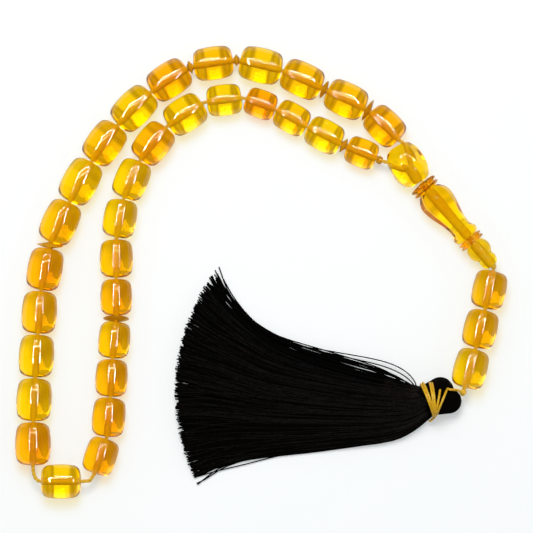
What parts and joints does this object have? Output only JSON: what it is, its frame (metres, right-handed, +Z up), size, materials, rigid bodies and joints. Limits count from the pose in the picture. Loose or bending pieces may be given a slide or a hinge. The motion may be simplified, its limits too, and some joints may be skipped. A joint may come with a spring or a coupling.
{
  "type": "prayer beads",
  "caption": "Misbaha: closed strand of clear barrel beads with leaf spacers, a drilled connector, a long imam bead, a short bead tail and a flared thread tassel, lying flat.",
  "frame": {"origin": "middle of the overall box, on the surface the beads lie on", "axes": "+Z up from that surface, +X along the longest extent towards the tail beads, +Y towards the top of the loop"},
  "size_m": [0.1406, 0.1303, 0.0106],
  "materials": {
    "bead_resin": "clear, polished",
    "disc_resin": "clear, polished",
    "cord": "twisted thread",
    "tassel_thread": "silky thread",
    "tie_thread": "satin cord"
  },
  "bodies": {
    "loop": {"loop_cord": "cord", "connector": "bead_resin"},
    "strand_a": {"strand_cord_a": "cord"},
    "strand_b": {"strand_cord_b": "cord"},
    "strand_c": {"strand_cord_c": "cord"},
    "imam_strand": {"imam_cord": "cord", "finial_knot": "cord"},
    "tail_1": {"tail_cord_1": "cord"},
    "tail_2": {"tail_cord_2": "cord"},
    "tail_3": {"tail_cord_3": "cord"},
    "tassel": {"tassel_head": "tassel_thread", "tassel_skirt": "tassel_thread", "tassel_tie": "tie_thread"},
    "bead_01": {"bead_01": "bead_resin"},
    "bead_02": {"bead_02": "bead_resin"},
    "bead_03": {"bead_03": "bead_resin"},
    "bead_04": {"bead_04": "bead_resin"},
    "bead_05": {"bead_05": "bead_resin"},
    "bead_06": {"bead_06": "bead_resin"},
    "bead_07": {"bead_07": "bead_resin"},
    "bead_08": {"bead_08": "bead_resin"},
    "bead_09": {"bead_09": "bead_resin"},
    "bead_10": {"bead_10": "bead_resin"},
    "bead_11": {"bead_11": "bead_resin"},
    "bead_12": {"bead_12": "bead_resin"},
    "bead_13": {"bead_13": "bead_resin"},
    "bead_14": {"bead_14": "bead_resin"},
    "bead_15": {"bead_15": "bead_resin"},
    "bead_16": {"bead_16": "bead_resin"},
    "leaf_disc_1": {"leaf_disc_1": "disc_resin"},
    "leaf_disc_2": {"leaf_disc_2": "disc_resin"},
    "leaf_disc_3": {"leaf_disc_3": "disc_resin"},
    "leaf_disc_4": {"leaf_disc_4": "disc_resin"},
    "leaf_disc_5": {"leaf_disc_5": "disc_resin"},
    "bead_27": {"bead_27": "bead_resin"},
    "bead_28": {"bead_28": "bead_resin"},
    "bead_29": {"bead_29": "bead_resin"},
    "bead_30": {"bead_30": "bead_resin"},
    "bead_31": {"bead_31": "bead_resin"},
    "leaf_disc_7": {"leaf_disc_7": "disc_resin"},
    "leaf_disc_8": {"leaf_disc_8": "disc_resin"},
    "bead_23": {"bead_23": "bead_resin"},
    "bead_24": {"bead_24": "bead_resin"},
    "bead_25": {"bead_25": "bead_resin"},
    "bead_26": {"bead_26": "bead_resin"},
    "bead_17": {"bead_17": "bead_resin"},
    "bead_18": {"bead_18": "bead_resin"},
    "bead_19": {"bead_19": "bead_resin"},
    "bead_20": {"bead_20": "bead_resin"},
    "bead_21": {"bead_21": "bead_resin"},
    "bead_22": {"bead_22": "bead_resin"},
    "leaf_disc_6": {"leaf_disc_6": "disc_resin"},
    "fluted_disc": {"fluted_disc": "disc_resin"},
    "smooth_ring": {"smooth_ring": "disc_resin"},
    "imam": {"imam": "bead_resin"},
    "double_ring": {"double_ring": "disc_resin"},
    "finial": {"finial": "bead_resin"},
    "tail_bead_1": {"tail_bead_1": "bead_resin"},
    "tail_bead_2": {"tail_bead_2": "bead_resin"},
    "tail_bead_3": {"tail_bead_3": "bead_resin"}
  },
  "joints": [
    {"name": "strand_a_bend", "type": "hinge", "parent": "loop", "child": "strand_a", "pos_m": [0.0354, 0.0307, 0.00417], "axis": [0, 0, 1], "range_deg": [0, 2]},
    {"name": "strand_b_bend", "type": "hinge", "parent": "strand_a", "child": "strand_b", "pos_m": [-0.0164, 0.0478, 0.00478], "axis": [0, 0, 1], "range_deg": [-6.69, 0]},
    {"name": "strand_c_bend", "type": "hinge", "parent": "strand_b", "child": "strand_c", "pos_m": [-0.0415, 0.0085, 0.00476], "axis": [0, 0, 1], "range_deg": [0, 7.73]},
    {"name": "imam_swing", "type": "hinge", "parent": "loop", "child": "imam_strand", "pos_m": [0.0457, 0.0246, 0.0051], "axis": [0, 0, 1], "range_deg": [-4, 3]},
    {"name": "tail_1_swing", "type": "hinge", "parent": "imam_strand", "child": "tail_1", "pos_m": [0.0663, -0.0006, 0.00485], "axis": [0, 0, 1], "range_deg": [-2, 15]},
    {"name": "tail_2_swing", "type": "hinge", "parent": "tail_1", "child": "tail_2", "pos_m": [0.0638, -0.0119, 0.00485], "axis": [0, 0, 1], "range_deg": [-3, 12]},
    {"name": "tail_3_swing", "type": "hinge", "parent": "tail_2", "child": "tail_3", "pos_m": [0.0611, -0.0231, 0.00485], "axis": [0, 0, 1], "range_deg": [-3, 12]},
    {"name": "tassel_swing", "type": "hinge", "parent": "tail_3", "child": "tassel", "pos_m": [0.0573, -0.036, 0.00485], "axis": [0, 0, 1], "range_deg": [-3, 20]},
    {"name": "bead_01_turn", "type": "hinge", "parent": "loop", "child": "bead_01", "pos_m": [0.03533, 0.04092, 0.00483], "axis": [-0.7118, 0.7024, 0], "continuous": true},
    {"name": "bead_02_turn", "type": "hinge", "parent": "loop", "child": "bead_02", "pos_m": [0.02426, 0.04857, 0.00501], "axis": [-0.9055, 0.4243, 0], "continuous": true},
    {"name": "bead_03_turn", "type": "hinge", "parent": "loop", "child": "bead_03", "pos_m": [0.01168, 0.0544, 0.00503], "axis": [-0.9093, 0.4162, 0], "continuous": true},
    {"name": "bead_04_turn", "type": "hinge", "parent": "loop", "child": "bead_04", "pos_m": [-0.00022, 0.05849, 0.00511], "axis": [-0.9726, 0.2324, 0], "continuous": true},
    {"name": "bead_05_turn", "type": "hinge", "parent": "loop", "child": "bead_05", "pos_m": [-0.01387, 0.05915, 0.00486], "axis": [-0.9891, -0.1473, 0], "continuous": true},
    {"name": "bead_06_turn", "type": "hinge", "parent": "loop", "child": "bead_06", "pos_m": [-0.02651, 0.05426, 0.00507], "axis": [-0.8366, -0.5479, 0], "continuous": true},
    {"name": "bead_07_turn", "type": "hinge", "parent": "loop", "child": "bead_07", "pos_m": [-0.03656, 0.04599, 0.00515], "axis": [-0.7034, -0.7108, 0], "continuous": true},
    {"name": "bead_08_turn", "type": "hinge", "parent": "loop", "child": "bead_08", "pos_m": [-0.04501, 0.03594, 0.00515], "axis": [-0.5761, -0.8174, 0], "continuous": true},
    {"name": "bead_09_turn", "type": "hinge", "parent": "loop", "child": "bead_09", "pos_m": [-0.05185, 0.02484, 0.00515], "axis": [-0.4741, -0.8805, 0], "continuous": true},
    {"name": "bead_10_turn", "type": "hinge", "parent": "loop", "child": "bead_10", "pos_m": [-0.05763, 0.01312, 0.00515], "axis": [-0.4088, -0.9126, 0], "continuous": true},
    {"name": "bead_11_turn", "type": "hinge", "parent": "loop", "child": "bead_11", "pos_m": [-0.06186, -0.00036, 0.00505], "axis": [-0.1821, -0.9833, 0], "continuous": true},
    {"name": "bead_12_turn", "type": "hinge", "parent": "loop", "child": "bead_12", "pos_m": [-0.0634, -0.01276, 0.00507], "axis": [-0.0639, -0.998, 0], "continuous": true},
    {"name": "bead_13_turn", "type": "hinge", "parent": "loop", "child": "bead_13", "pos_m": [-0.06415, -0.02525, 0.00507], "axis": [-0.0559, -0.9984, 0], "continuous": true},
    {"name": "bead_14_turn", "type": "hinge", "parent": "loop", "child": "bead_14", "pos_m": [-0.06475, -0.03775, 0.00507], "axis": [-0.04, -0.9992, 0], "continuous": true},
    {"name": "bead_15_turn", "type": "hinge", "parent": "loop", "child": "bead_15", "pos_m": [-0.065, -0.0503, 0.00509], "axis": [0, -1, 0], "continuous": true},
    {"name": "bead_16_turn", "type": "hinge", "parent": "loop", "child": "bead_16", "pos_m": [-0.057, -0.061, 0.00492], "axis": [1, 0, 0], "continuous": true},
    {"name": "bead_17_turn", "type": "hinge", "parent": "strand_c", "child": "bead_17", "pos_m": [-0.04576, -0.05379, 0.00461], "axis": [0.3162, 0.9487, 0], "continuous": true},
    {"name": "bead_18_turn", "type": "hinge", "parent": "strand_c", "child": "bead_18", "pos_m": [-0.0435, -0.04271, 0.00475], "axis": [0.0866, 0.9962, 0], "continuous": true},
    {"name": "bead_19_turn", "type": "hinge", "parent": "strand_c", "child": "bead_19", "pos_m": [-0.04275, -0.0315, 0.00462], "axis": [0.0454, 0.999, 0], "continuous": true},
    {"name": "bead_20_turn", "type": "hinge", "parent": "strand_c", "child": "bead_20", "pos_m": [-0.04202, -0.02063, 0.00455], "axis": [0.0897, 0.996, 0], "continuous": true},
    {"name": "bead_21_turn", "type": "hinge", "parent": "strand_c", "child": "bead_21", "pos_m": [-0.04148, -0.00837, 0.00453], "axis": [-0.0031, 1, 0], "continuous": true},
    {"name": "bead_22_turn", "type": "hinge", "parent": "strand_c", "child": "bead_22", "pos_m": [-0.0415, 0.00273, 0.00475], "axis": [0, 1, 0], "continuous": true},
    {"name": "bead_23_turn", "type": "hinge", "parent": "strand_b", "child": "bead_23", "pos_m": [-0.0405, 0.01423, 0.00478], "axis": [0.1713, 0.9852, 0], "continuous": true},
    {"name": "bead_24_turn", "type": "hinge", "parent": "strand_b", "child": "bead_24", "pos_m": [-0.03721, 0.02548, 0.00483], "axis": [0.3858, 0.9226, 0], "continuous": true},
    {"name": "bead_25_turn", "type": "hinge", "parent": "strand_b", "child": "bead_25", "pos_m": [-0.03107, 0.03588, 0.00496], "axis": [0.6178, 0.7863, 0], "continuous": true},
    {"name": "bead_26_turn", "type": "hinge", "parent": "strand_b", "child": "bead_26", "pos_m": [-0.02187, 0.04426, 0.00502], "axis": [0.8392, 0.5439, 0], "continuous": true},
    {"name": "bead_27_turn", "type": "hinge", "parent": "strand_a", "child": "bead_27", "pos_m": [-0.01072, 0.0485, 0.00455], "axis": [0.9925, 0.1219, 0], "continuous": true},
    {"name": "bead_28_turn", "type": "hinge", "parent": "strand_a", "child": "bead_28", "pos_m": [-0.00024, 0.04744, 0.00413], "axis": [0.938, -0.3467, 0], "continuous": true},
    {"name": "bead_29_turn", "type": "hinge", "parent": "strand_a", "child": "bead_29", "pos_m": [0.00872, 0.04329, 0.00439], "axis": [0.8742, -0.4856, 0], "continuous": true},
    {"name": "bead_30_turn", "type": "hinge", "parent": "strand_a", "child": "bead_30", "pos_m": [0.01805, 0.03826, 0.0046], "axis": [0.8861, -0.4635, 0], "continuous": true},
    {"name": "bead_31_turn", "type": "hinge", "parent": "strand_a", "child": "bead_31", "pos_m": [0.02869, 0.03327, 0.00417], "axis": [0.9247, -0.3807, 0], "continuous": true},
    {"name": "leaf_disc_1_turn", "type": "hinge", "parent": "loop", "child": "leaf_disc_1", "pos_m": [0.0305, 0.0455, 0.00492], "axis": [-0.8208, 0.5712, 0], "continuous": true},
    {"name": "leaf_disc_2_turn", "type": "hinge", "parent": "loop", "child": "leaf_disc_2", "pos_m": [0.018, 0.0515, 0.00502], "axis": [-0.9053, 0.4247, 0], "continuous": true},
    {"name": "leaf_disc_3_turn", "type": "hinge", "parent": "loop", "child": "leaf_disc_3", "pos_m": [-0.0072, 0.06, 0.00499], "axis": [-0.9993, 0.0371, 0], "continuous": true},
    {"name": "leaf_disc_4_turn", "type": "hinge", "parent": "loop", "child": "leaf_disc_4", "pos_m": [-0.0205, 0.058, 0.00496], "axis": [-0.9365, -0.3507, 0], "continuous": true},
    {"name": "leaf_disc_5_turn", "type": "hinge", "parent": "loop", "child": "leaf_disc_5", "pos_m": [-0.0605, 0.0065, 0.0051], "axis": [-0.2977, -0.9547, 0], "continuous": true},
    {"name": "leaf_disc_6_turn", "type": "hinge", "parent": "strand_c", "child": "leaf_disc_6", "pos_m": [-0.0415, -0.0145, 0.00454], "axis": [0.0434, 0.9991, 0], "continuous": true},
    {"name": "leaf_disc_7_turn", "type": "hinge", "parent": "strand_a", "child": "leaf_disc_7", "pos_m": [0.0236, 0.0354, 0.00438], "axis": [0.907, -0.4212, 0], "continuous": true},
    {"name": "leaf_disc_8_turn", "type": "hinge", "parent": "strand_a", "child": "leaf_disc_8", "pos_m": [0.0338, 0.0312, 0.00417], "axis": [0.9405, -0.3398, 0], "continuous": true},
    {"name": "fluted_disc_turn", "type": "hinge", "parent": "imam_strand", "child": "fluted_disc", "pos_m": [0.04632, 0.02388, 0.0051], "axis": [0.6476, -0.7619, 0], "continuous": true},
    {"name": "smooth_ring_turn", "type": "hinge", "parent": "imam_strand", "child": "smooth_ring", "pos_m": [0.04722, 0.02281, 0.0051], "axis": [0.6476, -0.7619, 0], "continuous": true},
    {"name": "imam_turn", "type": "hinge", "parent": "imam_strand", "child": "imam", "pos_m": [0.04777, 0.02216, 0.0051], "axis": [0.6476, -0.7619, 0], "continuous": true},
    {"name": "double_ring_turn", "type": "hinge", "parent": "imam_strand", "child": "double_ring", "pos_m": [0.05995, 0.00784, 0.0051], "axis": [0.6476, -0.7619, 0], "continuous": true},
    {"name": "finial_turn", "type": "hinge", "parent": "imam_strand", "child": "finial", "pos_m": [0.06073, 0.00692, 0.0051], "axis": [0.6476, -0.7619, 0], "continuous": true},
    {"name": "tail_bead_1_turn", "type": "hinge", "parent": "tail_1", "child": "tail_bead_1", "pos_m": [0.06505, -0.00625, 0.00485], "axis": [-0.216, -0.9764, 0], "continuous": true},
    {"name": "tail_bead_2_turn", "type": "hinge", "parent": "tail_2", "child": "tail_bead_2", "pos_m": [0.06245, -0.0175, 0.00485], "axis": [-0.2344, -0.9721, 0], "continuous": true},
    {"name": "tail_bead_3_turn", "type": "hinge", "parent": "tail_3", "child": "tail_bead_3", "pos_m": [0.05955, -0.02885, 0.00485], "axis": [-0.2603, -0.9655, 0], "continuous": true}
  ],
  "couplings": [
    {"joint": "strand_b_bend", "follows": "strand_a_bend", "ratio": -3.32},
    {"joint": "strand_c_bend", "follows": "strand_a_bend", "ratio": 3.842}
  ]
}
